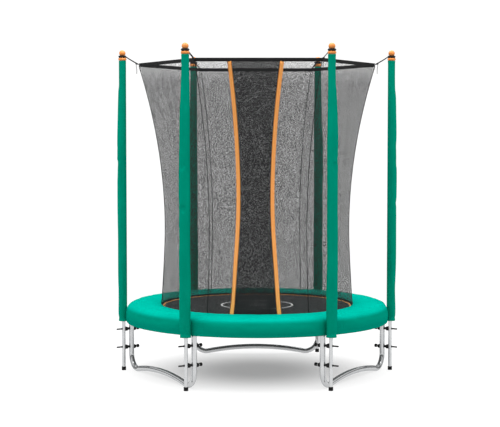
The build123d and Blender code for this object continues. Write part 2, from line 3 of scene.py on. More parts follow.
import bmesh
import bpy
import numpy as np
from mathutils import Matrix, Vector


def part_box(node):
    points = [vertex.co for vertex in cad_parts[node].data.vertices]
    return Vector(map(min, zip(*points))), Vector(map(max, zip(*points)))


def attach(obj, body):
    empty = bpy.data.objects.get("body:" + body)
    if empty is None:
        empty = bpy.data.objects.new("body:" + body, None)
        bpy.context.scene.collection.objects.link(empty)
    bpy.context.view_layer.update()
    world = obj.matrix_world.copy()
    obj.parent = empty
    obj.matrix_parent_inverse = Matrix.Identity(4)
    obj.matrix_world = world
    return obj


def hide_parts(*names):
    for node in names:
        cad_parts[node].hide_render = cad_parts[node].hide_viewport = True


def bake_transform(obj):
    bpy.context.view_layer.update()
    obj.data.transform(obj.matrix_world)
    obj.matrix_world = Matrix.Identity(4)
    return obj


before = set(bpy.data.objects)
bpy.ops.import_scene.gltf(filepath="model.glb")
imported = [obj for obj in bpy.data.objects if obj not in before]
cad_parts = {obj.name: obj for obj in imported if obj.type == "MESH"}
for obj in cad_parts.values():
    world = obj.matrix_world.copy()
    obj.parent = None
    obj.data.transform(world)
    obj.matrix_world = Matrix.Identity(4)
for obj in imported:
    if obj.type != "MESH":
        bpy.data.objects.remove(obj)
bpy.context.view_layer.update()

MM = 0.001
FRAME, MAT = "frame", "jump_mat"
PLACES = {"right": 0, "rear_right": 60, "rear_left": 120, "left": 180, "front_left": 240, "front_right": 300}
POLE_ANGLES = np.array(list(PLACES.values()))


# ---- meshes
def link(name, data):
    obj = bpy.data.objects.new(name, data)
    bpy.context.scene.collection.objects.link(obj)
    return obj


def mesh_object(name, verts, faces, material, uvs=None):
    """New mesh object. uvs holds one (u, v) pair, in metres of cloth, for each face corner."""
    mesh = bpy.data.meshes.new(name)
    mesh.from_pydata([tuple(v) for v in verts], [], [tuple(f) for f in faces])
    if uvs is not None:
        layer = mesh.uv_layers.new(name="cloth")
        layer.data.foreach_set("uv", np.asarray(uvs, np.float32).ravel())
    mesh.materials.append(material)
    mesh.polygons.foreach_set("use_smooth", [True] * len(mesh.polygons))
    mesh.update()
    return link(name, mesh)


def grid_faces(rows, cols, wrap_rows=False, wrap_cols=False, offset=0):
    """Quads of a rows x cols grid of vertices, and the grid steps of their corners."""
    faces, steps = [], []
    for i in range(rows if wrap_rows else rows - 1):
        for j in range(cols if wrap_cols else cols - 1):
            corners = [(i, j), (i, j + 1), (i + 1, j + 1), (i + 1, j)]
            faces.append([offset + (a % rows) * cols + b % cols for a, b in corners])
            steps.extend(corners)
    return faces, steps


def grid_object(name, points, material, wrap_rows=False, wrap_cols=False, cloth=None):
    """Surface through a (rows, cols, 3) array.

    cloth holds (u, v) for each grid step, and one more step where the grid wraps.
    """
    rows, cols = points.shape[:2]
    faces, steps = grid_faces(rows, cols, wrap_rows, wrap_cols)
    uvs = None if cloth is None else [cloth[a, b] for a, b in steps]
    return mesh_object(name, points.reshape(-1, 3), faces, material, uvs)


def sweep_rings(path, section, closed=False, up=None):
    """Rings of a section (k, 2) carried along a path (n, 3): (n, k, 3).

    up gives the direction of the section's second axis. Without it the section is carried without twist.
    """
    path = np.asarray(path, float)
    n = len(path)
    if closed:
        tangents = np.roll(path, -1, 0) - np.roll(path, 1, 0)
    else:
        tangents = np.gradient(path, axis=0)
    tangents /= np.linalg.norm(tangents, axis=1, keepdims=True)
    side = np.zeros((n, 3))
    given = None if up is None else np.broadcast_to(up, (n, 3))
    guess = np.array((0.0, 0.0, 1.0) if abs(tangents[0][2]) < 0.9 else (1.0, 0.0, 0.0))
    for i, t in enumerate(tangents):
        guess = guess if given is None else given[i]
        s = guess - t * (guess @ t)
        side[i] = s / np.linalg.norm(s)
        guess = side[i]
    other = np.cross(tangents, side)
    section = np.asarray(section, float)
    return path[:, None] + section[None, :, :1] * other[:, None] + section[None, :, 1:] * side[:, None]


def circle_section(radius, sides):
    angles = np.arange(sides) * 2 * math.pi / sides
    return np.stack([np.cos(angles), np.sin(angles)], 1) * radius


def flat_section(width, thickness, round_steps=3):
    """Cross-section of a tape: a thin rectangle with rounded edges, listed around."""
    half, r = width / 2, thickness / 2
    points = []
    for centre, start in ((half - r, -90), (-(half - r), 90)):
        for k in range(round_steps + 1):
            a = math.radians(start + 180 * k / round_steps)
            points.append((centre + r * math.cos(a), r * math.sin(a)))
    return np.array(points)


def tube_data(path, section, closed, offset):
    """Vertices and faces of a tube with closed ends, or of a ring. offset is its first vertex's number."""
    rings = sweep_rings(path, section, closed)
    n, k = rings.shape[:2]
    faces, _ = grid_faces(n, k, wrap_rows=closed, wrap_cols=True, offset=offset)
    if not closed:
        faces.append([offset + j for j in range(k)][::-1])
        faces.append([offset + (n - 1) * k + j for j in range(k)])
    return rings.reshape(-1, 3), faces


def tubes_object(name, paths, section, material, closed=False):
    """One mesh of several equal tubes."""
    verts, faces, count = [], [], 0
    for path in paths:
        v, f = tube_data(path, section, closed, count)
        verts.append(v)
        faces.extend(f)
        count += len(v)
    return mesh_object(name, np.concatenate(verts), faces, material)


def tape_object(name, path, width, thickness, material, up=None, closed=False):
    """A flat tape along a path, lying across `up`, with cloth coordinates along and across it."""
    section = flat_section(width, thickness)
    rings = sweep_rings(path, section, closed, up)
    n, k = rings.shape[:2]
    faces, steps = grid_faces(n, k, wrap_rows=closed, wrap_cols=True)
    lengths = np.concatenate([[0], np.cumsum(np.linalg.norm(np.diff(path, axis=0), axis=1))])
    if closed:
        lengths = np.append(lengths, lengths[-1] + np.linalg.norm(path[0] - path[-1]))
    uvs = [(section[b % k][0], lengths[a]) for a, b in steps]
    if not closed:
        for ring in (list(range(k))[::-1], [(n - 1) * k + j for j in range(k)]):
            faces.append(ring)
            uvs.extend([(0, 0)] * k)
    return mesh_object(name, rings.reshape(-1, 3), faces, material, uvs)


def polar(radius, angle, z):
    a = np.radians(angle)
    return np.stack(np.broadcast_arrays(radius * np.cos(a), radius * np.sin(a), z), -1)


def turned(points, angle):
    """Points turned about the upright axis, by an angle in degrees."""
    c, s = math.cos(math.radians(angle)), math.sin(math.radians(angle))
    x, y, z = np.moveaxis(np.asarray(points, float), -1, 0)
    return np.stack([x * c - y * s, x * s + y * c, z], -1)


def outward(points):
    """Level direction away from the axis at each point."""
    flat = np.asarray(points, float) * (1.0, 1.0, 0.0)
    return flat / np.linalg.norm(flat, axis=-1, keepdims=True)


def smooth(x):
    x = np.clip(x, 0, 1)
    return x * x * (3 - 2 * x)


def wobble(a, b, seed):
    """Smooth random surface between about -1 and 1 over two coordinates."""
    waves = 5
    local = np.random.default_rng(seed)
    total = np.zeros(np.broadcast(a, b).shape)
    for _ in range(waves):
        fa, fb = local.uniform(-1, 1, 2)
        total = total + np.sin(2 * math.pi * (fa * a + fb * b) + local.uniform(0, 2 * math.pi))
    return total / math.sqrt(waves)


# ---- frame measurements
node_edges = {}        # the end points of each sliced node's edges, so that they are read once


def slice_node(node, height):
    """Points where a CAD node's surface crosses a height."""
    if node not in node_edges:
        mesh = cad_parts[node].data
        co = np.array([v.co for v in mesh.vertices])
        edges = np.array([e.vertices for e in mesh.edges])
        node_edges[node] = (co[edges[:, 0]], co[edges[:, 1]])
    a, b = node_edges[node]
    low, high = np.minimum(a[:, 2], b[:, 2]), np.maximum(a[:, 2], b[:, 2])
    cross = (low < height) & (high > height)
    a, b = a[cross], b[cross]
    t = (height - a[:, 2]) / (b[:, 2] - a[:, 2])
    return a + (b - a) * t[:, None]


def heights(node):
    """Lowest and highest point of a CAD node."""
    low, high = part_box(node)
    return low.z, high.z


TAPE = 26 * MM         # width of the orange tapes at the entrance
net_low, net_high = heights("net_panel_rear")
band_low, band_high = heights("net_top_band")
net_foot = net_low - 2 * MM
levels = np.linspace(net_low + 1 * MM, net_high - 1 * MM, 40)
# The rear panel ends 2.5 mm short of the corners, which stand 60 degrees apart.
corner_levels = np.array([2 * (slice_node("net_panel_rear", z)[:, 0].max() + 2.5 * MM) for z in levels])
middle_levels = np.array([slice_node("net_panel_rear", z)[:, 1].max() for z in levels])
left_levels, right_levels = [], []
for level in levels:
    cut = slice_node("entrance_seam_tapes", level)[:, 0]
    middle = (cut.min() + cut.max()) / 2
    left_levels.append((cut[cut < middle].min() + cut[cut < middle].max()) / 2)
    right_levels.append(cut.max() - TAPE / 2)


def net_radius(angle, z):
    """Distance of the net from the axis, at an angle in degrees and a height. Each panel bulges as an arc."""
    corner, middle = np.interp(z, levels, corner_levels), np.interp(z, levels, middle_levels)
    flat = corner * math.cos(math.radians(30))
    bulge = np.maximum(middle - flat, 2 * MM)
    arc = ((corner / 2) ** 2 + bulge**2) / (2 * bulge)
    centre = flat + bulge - arc
    turn = np.radians((np.asarray(angle) % 60) - 30)
    return centre * np.cos(turn) + np.sqrt(arc**2 - (centre * np.sin(turn)) ** 2)


def front_angle(x, z):
    """Angle of the point of the front panel that stands at x."""
    angle = np.full(np.shape(x), -90.0)
    for _ in range(12):
        angle = np.degrees(np.arctan2(-np.sqrt(np.maximum(net_radius(angle, z) ** 2 - x**2, 0)), x))
    return angle


def door_left(z):
    return np.interp(z, levels, left_levels)


def door_right(z):
    return np.interp(z, levels, right_levels)


# ---- materials
class Nodes:
    """Short way to write the node tree of a new material or world."""

    def __init__(self, name, store=bpy.data.materials):
        self.owner = store.new(name)
        self.owner.use_nodes = True
        self.tree = self.owner.node_tree
        self.tree.nodes.clear()
        self.position = self.add("TexCoord").outputs["Object"]

    def add(self, kind, inputs=None, **settings):
        node = self.tree.nodes.new("ShaderNode" + kind)
        for key, value in settings.items():
            setattr(node, key, value)
        for key, value in (inputs or {}).items():
            if isinstance(value, bpy.types.NodeSocket):
                self.tree.links.new(value, node.inputs[key])
            else:
                node.inputs[key].default_value = value
        return node

    def math(self, operation, a, b=0.0, c=0.0):
        return self.add("Math", {0: a, 1: b, 2: c}, operation=operation).outputs[0]

    def times(self, a, b):
        return self.math("MULTIPLY", a, b)

    def plus(self, a, b):
        return self.math("ADD", a, b)

    def ramp(self, value, low, high):
        """0 at low, 1 at high."""
        return self.add("MapRange", {0: value, 1: low, 2: high}).outputs[0]

    def wave(self, value, pitch):
        return self.math("SINE", self.times(value, 2 * math.pi / pitch))

    def noise(self, vector, scale, detail=3.0, roughness=0.5, output="Fac"):
        inputs = {"Vector": vector, "Scale": scale, "Detail": detail, "Roughness": roughness}
        return self.add("TexNoise", inputs).outputs[output]

    def stretched(self, *scale):
        return self.add("Mapping", {"Vector": self.position, "Scale": scale}).outputs[0]

    def cloth(self):
        """The two cloth coordinates in metres: across and along."""
        return self.add("UVMap", uv_map="cloth").outputs["UV"]

    def split(self, vector):
        return self.add("SeparateXYZ", {0: vector}).outputs

    def bump(self, height, strength, distance):
        node = self.add("Bump", {"Height": height, "Strength": strength, "Distance": distance})
        return node.outputs[0]

    def principled(self, colour, rough, **inputs):
        """inputs are named as in Blender, with _ for a space."""
        named = {key.replace("_", " "): value for key, value in inputs.items()}
        return self.add("BsdfPrincipled", {"Base Color": colour, "Roughness": rough, **named}).outputs[0]

    def blend(self, factor, first, second):
        return self.add("MixShader", {0: factor, 1: first, 2: second}).outputs[0]

    def mix(self, factor, a, b):
        """A colour between a and b."""
        return self.add("Mix", {0: factor, 6: a, 7: b}, data_type="RGBA").outputs[2]

    def finish(self, shader, output="OutputMaterial"):
        self.add(output, {"Surface": shader})
        return self.owner


def rgba(r, g, b):
    return (r, g, b, 1.0)


COATED_WEAVE = 1 / 900      # metres from thread to thread
SHOULDER = 462 * MM         # height where the cover's top panel turns into its skirt
LANDING_RINGS = ((252 * MM, 6 * MM), (58 * MM, 5 * MM))     # radius and half width
LANDING_DOT = 20 * MM

def coated_cloth(name, colour, shade, rough=0.42, skirt_shade=None):
    """PVC-coated woven cloth: fine square weave, faint creases, dust and a soft sheen.

    The skirt colour is painted shade: a darker tone for the strip that hangs below the shoulder, which gets
    less light than the top. With it, the faces that look down above the shoulder are painted near black, as
    painted shade under the cover.
    """
    n = Nodes(name)
    parts = n.split(n.cloth())
    threads = n.times(n.wave(parts[0], COATED_WEAVE), n.wave(parts[1], COATED_WEAVE))
    patches = n.noise(n.position, 5.0, 4.0)
    creases = n.noise(n.position, 26.0, 5.0, 0.55)
    tint = n.mix(n.ramp(patches, 0.3, 0.7), colour, shade)
    worn = n.mix(n.times(n.ramp(creases, 0.55, 0.8), 0.10), tint, rgba(0.02, 0.33, 0.25))
    if skirt_shade:
        level = n.split(n.position)[2]
        # Painted shade: below the shoulder the cloth takes the darker skirt colour, for the lesser light on
        # the side.
        worn = n.mix(n.ramp(level, SHOULDER + 6 * MM, SHOULDER - 14 * MM), worn, skirt_shade)
        # Painted shade: faces that look down, above the shoulder, are painted near black for the shade under
        # the cover.
        normal = n.split(n.add("NewGeometry").outputs["Normal"])[2]
        under = n.times(n.math("LESS_THAN", normal, -0.45), n.math("GREATER_THAN", level, SHOULDER))
        worn = n.mix(under, worn, rgba(0.012, 0.012, 0.013))
    bump = n.bump(n.plus(n.times(threads, 0.12), n.times(creases, 1.4)), 0.16, 2 * MM)
    body = n.principled(worn, 0.8, Specular_IOR_Level=0.0, Normal=bump)
    sheen = {
        "Color": n.mix(0.5, worn, rgba(0.0, 0.9, 0.78)),
        "Roughness": n.plus(rough - 0.06, n.times(patches, 0.12)), "Normal": bump,
    }
    gloss = n.add("BsdfGlossy", sheen).outputs[0]
    facing = n.add("LayerWeight", {"Blend": 0.35}).outputs["Facing"]
    return n.finish(n.blend(n.math("MULTIPLY_ADD", facing, 0.12, 0.05), body, gloss))


def net_cloth(name, thread, pitch=2.7 * MM, slant=0.8, grit=1.0, lighter_top=0.0):
    """See-through knitted net: black threads in a fine, slightly uneven diamond mesh.

    thread is the share of each mesh that a thread covers, slant sets the shape of the diamonds, and grit is
    how uneven the threads are. lighter_top thins the threads near the top band, where the net is pulled wide.
    """
    n = Nodes(name)
    pull = n.noise(n.position, 30.0, 1.0, output="Color")
    pull = n.add("VectorMath", {0: pull, 1: (0.5, 0.5, 0.5)}, operation="SUBTRACT").outputs[0]
    pull = n.add("VectorMath", {0: pull, 1: (6 * MM, 4 * MM, 0.0)}, operation="MULTIPLY").outputs[0]
    parts = n.split(n.add("VectorMath", {0: n.cloth(), 1: pull}, operation="ADD").outputs[0])
    lines = []
    for sign in (1.0, -1.0):
        diagonal = n.math("MULTIPLY_ADD", parts[1], sign * slant, parts[0])
        cell = n.math("FRACT", n.times(diagonal, 1 / pitch))
        lines.append(n.math("ABSOLUTE", n.math("SUBTRACT", cell, 0.5)))
    fine = n.ramp(n.noise(n.position, 150.0, 1.0, 0.6), 0.28, 0.72)
    streaks = n.ramp(n.noise(n.stretched(60.0, 60.0, 7.0), 1.0, 2.0), 0.30, 0.70)
    grain = n.math("MULTIPLY_ADD", streaks, 0.30 * grit, n.times(fine, 1.10 * grit))
    upper = n.times(n.ramp(n.split(n.position)[2], 2.04, 2.14), -lighter_top)
    density = n.plus(n.plus(grain, 1.0 - 0.70 * grit), upper)
    half_width = n.times(density, thread / 2)
    cover = n.math("MAXIMUM", *(n.math("LESS_THAN", line, half_width) for line in lines))
    threads = n.principled(rgba(0.010, 0.010, 0.011), 0.6, Specular_IOR_Level=0.25)
    return n.finish(n.blend(cover, n.add("BsdfTransparent").outputs[0], threads))


def webbing(name, colour, light, stitches=(), stitch_colour=None):
    """Woven tape: ribs along it, a fine cross weave, and rows of stitches at distances from its middle."""
    n = Nodes(name)
    parts = n.split(n.cloth())
    weave = n.times(n.wave(parts[0], 2.2 * MM), n.wave(parts[1], 1.6 * MM))
    fuzz = n.noise(n.position, 160.0, 3.0)
    body = n.mix(n.times(n.plus(weave, 1.0), 0.35), colour, light)
    body = n.mix(n.times(fuzz, 0.35), body, colour)
    height = n.plus(n.times(weave, 0.3), n.times(fuzz, 0.4))
    for row in stitches:
        off = n.math("ABSOLUTE", n.math("SUBTRACT", parts[0], row))
        in_row = n.math("LESS_THAN", off, 0.7 * MM)
        dash = n.math("FRACT", n.times(parts[1], 1 / (6 * MM)))
        stitch = n.times(in_row, n.math("LESS_THAN", dash, 0.68))
        body = n.mix(stitch, body, stitch_colour)
        height = n.plus(n.plus(height, n.times(in_row, -0.6)), n.times(stitch, 0.9))
    bump = n.bump(height, 0.5, 0.6 * MM)
    return n.finish(n.principled(body, 0.7, Normal=bump, Specular_IOR_Level=0.2))


def galvanised(name):
    """Bright zinc-coated tube with faint draw lines, smudges and a little dull spangle."""
    n = Nodes(name)
    lines = n.noise(n.stretched(260.0, 260.0, 14.0), 1.0, 3.0)
    smudge = n.noise(n.position, 9.0, 5.0, 0.6)
    spangle = n.add("TexVoronoi", {"Vector": n.position, "Scale": 180.0}).outputs["Color"]
    grey = n.add("RGBToBW", {0: spangle}).outputs[0]
    colour = n.mix(n.ramp(smudge, 0.35, 0.75), rgba(0.60, 0.605, 0.61), rgba(0.50, 0.51, 0.52))
    colour = n.mix(n.times(grey, 0.12), colour, rgba(0.9, 0.91, 0.93))
    rough = n.plus(n.plus(0.03, n.times(smudge, 0.10)), n.times(lines, 0.03))
    bump = n.bump(n.plus(n.times(lines, 0.4), n.times(smudge, 0.3)), 0.08, 0.4 * MM)
    return n.finish(
        n.principled(
            colour, rough, Metallic=0.8, Specular_IOR_Level=0.2,
            Specular_Tint=rgba(0.7, 0.71, 0.72), Normal=bump,
        )
    )


def zinc_hardware(name):
    """Zinc-plated fastener steel, yellowish-white, with turned marks."""
    n = Nodes(name)
    marks = n.noise(n.stretched(900.0, 900.0, 900.0), 1.0, 2.0)
    colour = n.mix(n.noise(n.position, 60.0, 3.0), rgba(0.55, 0.55, 0.54), rgba(0.74, 0.74, 0.72))
    rough = n.plus(0.22, n.times(marks, 0.18))
    return n.finish(n.principled(colour, rough, Metallic=1.0, Normal=n.bump(marks, 0.15, 0.2 * MM)))


def moulded(name, colour, light, rough, grain=420.0, strength=0.12, specular=0.45):
    """Injection-moulded plastic or rubber: fine spark-eroded grain and scattered lighter scuffs."""
    n = Nodes(name)
    fine = n.noise(n.position, grain, 3.0)
    scuff = n.times(n.ramp(n.noise(n.position, 22.0, 4.0), 0.55, 0.8), 0.35)
    roughness = n.plus(rough, n.times(fine, 0.12))
    bump = n.bump(fine, strength, 0.5 * MM)
    body = n.principled(n.mix(scuff, colour, light), roughness, Normal=bump, Specular_IOR_Level=specular)
    return n.finish(body)


def mat_cloth(name):
    """Black woven polypropylene with a plain landing ring and a small centre mark printed on it."""
    n = Nodes(name)
    parts = n.split(n.position)
    weave = n.times(n.wave(parts[0], 2.6 * MM), n.wave(parts[1], 2.6 * MM))
    flat = n.add("CombineXYZ", {0: parts[0], 1: parts[1], 2: 0.0}).outputs[0]
    radius = n.add("VectorMath", {0: flat}, operation="LENGTH").outputs["Value"]
    printed = 0.0
    for centre, half in LANDING_RINGS:
        line = n.math("LESS_THAN", n.math("ABSOLUTE", n.math("SUBTRACT", radius, centre)), half)
        printed = n.math("MAXIMUM", printed, line)
    printed = n.math("MAXIMUM", printed, n.math("LESS_THAN", radius, LANDING_DOT))
    worn = n.times(printed, n.ramp(n.noise(n.position, 140.0, 3.0), 0.18, 0.34))
    cloud = n.noise(n.position, 7.0, 4.0)
    base = n.mix(cloud, rgba(0.018, 0.018, 0.019), rgba(0.032, 0.033, 0.034))
    base = n.mix(n.times(n.plus(weave, 1.0), 0.22), base, rgba(0.075, 0.076, 0.078))
    base = n.mix(worn, base, rgba(0.88, 0.89, 0.89))
    bump = n.bump(weave, 0.35, 0.6 * MM)
    return n.finish(n.principled(base, 0.62, Normal=bump, Specular_IOR_Level=0.3))


# The skirt colour given here is painted shade for the cover's side, darker than its top.
GREEN = coated_cloth(
    "green_cover_cloth", rgba(0.0, 0.335, 0.25), rgba(0.0, 0.305, 0.225), skirt_shade=rgba(0.0, 0.235, 0.155)
)
# Painted shade: the sleeves are the cover's cloth, made darker for the lesser light on their upright sides.
SHADED_SLEEVE = coated_cloth("green_sleeve_shaded_cloth", rgba(0.0, 0.252, 0.160), rgba(0.0, 0.224, 0.142), rough=0.5)
NET = net_cloth("black_net", 0.33, grit=0.7, lighter_top=0.3)
FLAP_NET = net_cloth("black_flap_net", 0.47, pitch=2.3 * MM, grit=0.12)
INNER_NET = net_cloth("black_inner_net", 0.47, pitch=1.9 * MM, slant=0.5, grit=0.12)
MAT_CLOTH = mat_cloth("black_mat_weave")
BLACK_TAPE = webbing("black_webbing", rgba(0.004, 0.004, 0.0045), rgba(0.013, 0.013, 0.014))
MAT_HEM = webbing(
    "mat_hem_webbing", rgba(0.010, 0.010, 0.011), rgba(0.035, 0.035, 0.037), stitches=(-6 * MM, 2 * MM),
    stitch_colour=rgba(0.12, 0.12, 0.12),
)
ORANGE_TAPE = webbing(
    "orange_binding", rgba(0.90, 0.30, 0.055), rgba(1.0, 0.47, 0.12), stitches=(-5 * MM, 5 * MM),
    stitch_colour=rgba(1.0, 0.72, 0.38),
)
ZINC_TUBE = galvanised("galvanised_tube")
ZINC_PARTS = zinc_hardware("zinc_hardware")
BLACK_PLASTIC = moulded(
    "black_plastic", rgba(0.006, 0.006, 0.0065), rgba(0.025, 0.025, 0.026), 0.45, specular=0.25
)
BLACK_RUBBER = moulded(
    "black_rubber", rgba(0.006, 0.006, 0.006), rgba(0.02, 0.02, 0.02), 0.62, 260.0, 0.2, specular=0.2
)
ORANGE_PLASTIC = moulded("orange_plastic", rgba(0.76, 0.26, 0.055), rgba(0.88, 0.42, 0.15), 0.26, 500.0, 0.05)
FOAM = moulded("grey_foam", rgba(0.70, 0.70, 0.67), rgba(0.85, 0.85, 0.82), 0.75, 900.0, 0.5)


# ---- frame finish
def finish_cad(prefixes, material):
    for node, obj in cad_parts.items():
        if node.startswith(prefixes):
            obj.data.materials.clear()
            obj.data.materials.append(material)


finish_cad(("frame_rail_", "leg_", "pole_lower_", "poles_upper"), ZINC_TUBE)
finish_cad(("clamp_bolts", "clamp_nuts", "socket_screws"), ZINC_PARTS)
finish_cad(("clamp_thread_covers", "clamp_spacers", "clamp_back_saddles", "clamp_knobs"), BLACK_PLASTIC)
finish_cad(("foot_plugs", "neck_bands"), BLACK_RUBBER)
finish_cad(("pole_cap_",), ORANGE_PLASTIC)
finish_cad(("pole_foam",), FOAM)


# ---- how cloth follows the joints
EDGE_SHARE = 0.35      # share of the mat's travel that its edge makes: the mat forms a bowl
FLAP_EASE = 0.55       # height over which a flap comes free of its hem, and of the top band
SEAM_EASE = 0.13       # distance from its seam over which a flap comes free
hook_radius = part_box("springs")[1].y - 1.5 * MM
hem_low, hem_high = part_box("mat_hem")


def set_blend(obj, weights):
    """Bakes a piece's placement into its mesh. weights is not used."""
    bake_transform(obj)


def fit(obj, follow=None, node=None):
    """Gives a finished piece what it follows, and hides the CAD node that it stands in for."""
    if node:
        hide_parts(node)
    if follow:
        follow(obj)
    else:
        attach(obj, FRAME)


def vertex_array(obj):
    co = np.empty(len(obj.data.vertices) * 3)
    obj.data.vertices.foreach_get("co", co)
    return co.reshape(-1, 3)


def mat_share(co):
    """1 at the mat's centre, EDGE_SHARE at its hem, falling to 0 where the springs hook into the frame."""
    r = np.hypot(co[:, 0], co[:, 1])
    bowl = 1 - (1 - EDGE_SHARE) * smooth(r / hem_high.x)
    outside = EDGE_SHARE * (hook_radius - r) / (hook_radius - hem_high.x)
    return np.where(r < hem_high.x, bowl, np.maximum(outside, 0))


def ride_mat(obj):
    set_blend(obj, mat_share(vertex_array(obj)))


def ride_net(obj):
    """Weights for the net, which hangs from the poles and whose hem goes down with the mat's edge: 0 up on
    it, rising to EDGE_SHARE at the hem.

    The height over which it gives is smaller at the entrance, where the flaps stay put.
    """
    co = vertex_array(obj)
    from_door = np.abs(np.degrees(np.arctan2(co[:, 0], -co[:, 1])))
    give = 0.056 + 0.16 * smooth((from_door - 18) / 12)
    set_blend(obj, EDGE_SHARE * (1 - smooth((co[:, 2] - net_foot) / give)))


def ride_outer(obj):
    ride_flap(obj, lambda x, z: x - door_left(z))


def ride_inner(obj):
    ride_flap(obj, lambda x, z: door_right(z) - x)


def ride_flap(obj, from_seam):
    """Weights for a flap, which is held at its seam, the top band and the hem and free in the middle of its
    open edge: 0 where held, 1 in that middle.
    """
    x, _, z = vertex_array(obj).T
    along = smooth((z - net_foot) / FLAP_EASE) * smooth((band_low - z) / FLAP_EASE)
    set_blend(obj, along * smooth(from_seam(x, z) / SEAM_EASE))


# ---- cloth simulation
def simulate(obj, pinned, frames, pressure, cap, shrink, colliders=()):
    """Runs a short cloth simulation and writes its result, with a cap on how far any point moves."""
    scene = bpy.context.scene
    group = obj.vertex_groups.new(name="pin")
    for index in np.flatnonzero(pinned):
        group.add([int(index)], 1.0, "REPLACE")
    for other in colliders:
        other.modifiers.new("Collision", "COLLISION")
        other.collision.thickness_outer = 1 * MM
    cloth = obj.modifiers.new("Cloth", "CLOTH")
    settings = cloth.settings
    settings.quality = 6
    settings.mass = 0.25
    settings.tension_stiffness = settings.compression_stiffness = 15.0
    settings.shear_stiffness = 5.0
    settings.bending_stiffness = 0.4
    settings.vertex_group_mass = "pin"
    settings.shrink_min = settings.shrink_max = shrink
    settings.use_pressure = True
    settings.uniform_pressure_force = pressure
    settings.effector_weights.gravity = 0.0
    cloth.collision_settings.use_collision = bool(colliders)
    cloth.collision_settings.distance_min = 1 * MM
    before = vertex_array(obj)
    scene.frame_start, scene.frame_end = 1, frames
    cloth.point_cache.frame_end = frames
    for frame_number in range(1, frames + 1):
        scene.frame_set(frame_number)
    shaped = obj.evaluated_get(bpy.context.evaluated_depsgraph_get()).to_mesh()
    after = np.empty(len(before) * 3)
    shaped.vertices.foreach_get("co", after)
    move = after.reshape(-1, 3) - before
    length = np.linalg.norm(move, axis=1, keepdims=True)
    move *= np.minimum(1, cap / np.maximum(length, 1e-9))
    obj.modifiers.remove(cloth)
    obj.vertex_groups.clear()
    for other in colliders:
        other.modifiers.clear()
    obj.data.vertices.foreach_set("co", (before + move).ravel())
    obj.data.update()
    scene.frame_set(1)


def soften(obj):
    """Evens out the sharpest crumples of a simulated mesh."""
    mesh = bmesh.new()
    mesh.from_mesh(obj.data)
    bmesh.ops.smooth_vert(
        mesh, verts=mesh.verts, factor=0.5, use_axis_x=True, use_axis_y=True, use_axis_z=True
    )
    mesh.to_mesh(obj.data)
    mesh.free()


def subdivide(obj):
    modifier = obj.modifiers.new("Subdivision", "SUBSURF")
    modifier.levels = modifier.render_levels = 1


# ---- pad
pole_circle = sum(corner.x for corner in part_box("pole_lower_right")) / 2
rail_axis = sum(heights("frame_rail_right")) / 2
pad_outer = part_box("pad")[1].x
NOTCH_START = 0.86     # radius from which the cover is drawn in at a pole

# The cover's closed section in millimetres: radius and height, from the inner edge over the top to the
# skirt's hem, back up inside the skirt and in under the foam.
pad_section = np.array([
    (683.0, 473.5), (682.6, 476.0), (685.0, 478.6), (692.0, 481.2), (704.0, 483.6), (720.0, 485.8),
    (740.0, 487.8), (762.0, 489.4), (786.0, 490.6), (810.0, 491.2), (832.0, 491.2), (853.0, 490.8),
    (871.0, 489.6), (886.0, 487.2), (898.0, 483.4), (908.0, 478.0), (915.8, 470.6), (921.0, 461.4),
    (924.0, 450.6), (925.5, 438.0), (926.0, 424.0), (926.4, 412.0), (926.6, 400.0), (926.6, 388.0),
    (926.4, 377.0), (926.2, 368.0), (926.2, 362.0), (924.8, 360.0), (922.6, 361.0), (922.0, 368.0),
    (921.8, 388.0), (921.6, 412.0), (921.0, 436.0), (918.4, 451.0), (911.6, 463.0), (902.0, 470.2),
    (886.0, 472.0), (850.0, 472.2), (800.0, 472.2), (750.0, 472.2), (704.0, 472.2), (688.0, 472.2),
]) * MM
FOAM_COLUMNS = range(2, 24)     # points of the section that the filling can push out
SEAM_TURN = 7.0        # the pad's cross seams stand this many degrees round from the poles
pad_steps = np.unique([*np.arange(0.0, 60.0, 1.25), *(SEAM_TURN + np.array([-0.7, -0.32, 0.0, 0.32, 0.7]))])
pad_angles = np.concatenate([start + pad_steps for start in POLE_ANGLES])


def notch(radius, angle, clearance):
    """Brings a radius in where the cover is tucked behind a pole, with that clearance round the pole."""
    off = (angle + 30) % 60 - 30
    fine = np.linspace(-8, 8, 321)
    middle = pole_circle + 4 * MM
    across = middle * np.sin(np.radians(fine))
    inside = np.abs(across) < clearance
    face = middle * np.cos(np.radians(fine)) - np.sqrt(np.maximum(clearance**2 - across**2, 0))
    depth = np.where(inside, np.maximum(pad_outer - face, 0), 0)
    kernel = np.exp(-np.linspace(-1.6, 1.6, 33) ** 2 / 0.6)
    eased = np.convolve(depth, kernel / kernel.sum(), mode="same")
    eased = np.maximum(eased, depth)
    limit = pad_outer - np.interp(off, fine, eased, left=0, right=0)
    reach = smooth((radius - NOTCH_START) / (pad_outer - NOTCH_START))
    return np.minimum(radius, radius - (pad_outer - limit) * reach)


turn = pad_angles[:, None]
section_r, section_z = pad_section[None, :, 0], pad_section[None, :, 1]
length = np.concatenate([[0], np.cumsum(np.linalg.norm(np.diff(pad_section, axis=0), axis=1))])
length_wrap = np.append(length, length[-1] + np.linalg.norm(pad_section[0] - pad_section[-1]))
on_top = smooth((section_z - 0.4745) / 0.006) * smooth((section_r - 0.69) / 0.03)
to_seam = np.abs((turn - SEAM_TURN + 30) % 60 - 30)
soft_r = section_r + wobble(turn / 17, section_z * 9, 3) * 0.8 * MM * smooth((0.45 - section_z) / 0.05)
soft_r = soft_r + np.sin(np.radians(turn) * 6 * 4) * 0.6 * MM * smooth((0.42 - section_z) / 0.06)
pad_r = notch(soft_r, turn, clearance=38.2 * MM)
seam_dip = 3.2 * MM * np.exp(-((to_seam / 0.55) ** 2)) * on_top
ruffle = wobble(turn / 4.2, section_r * 11, 5) * 0.8 * MM * on_top
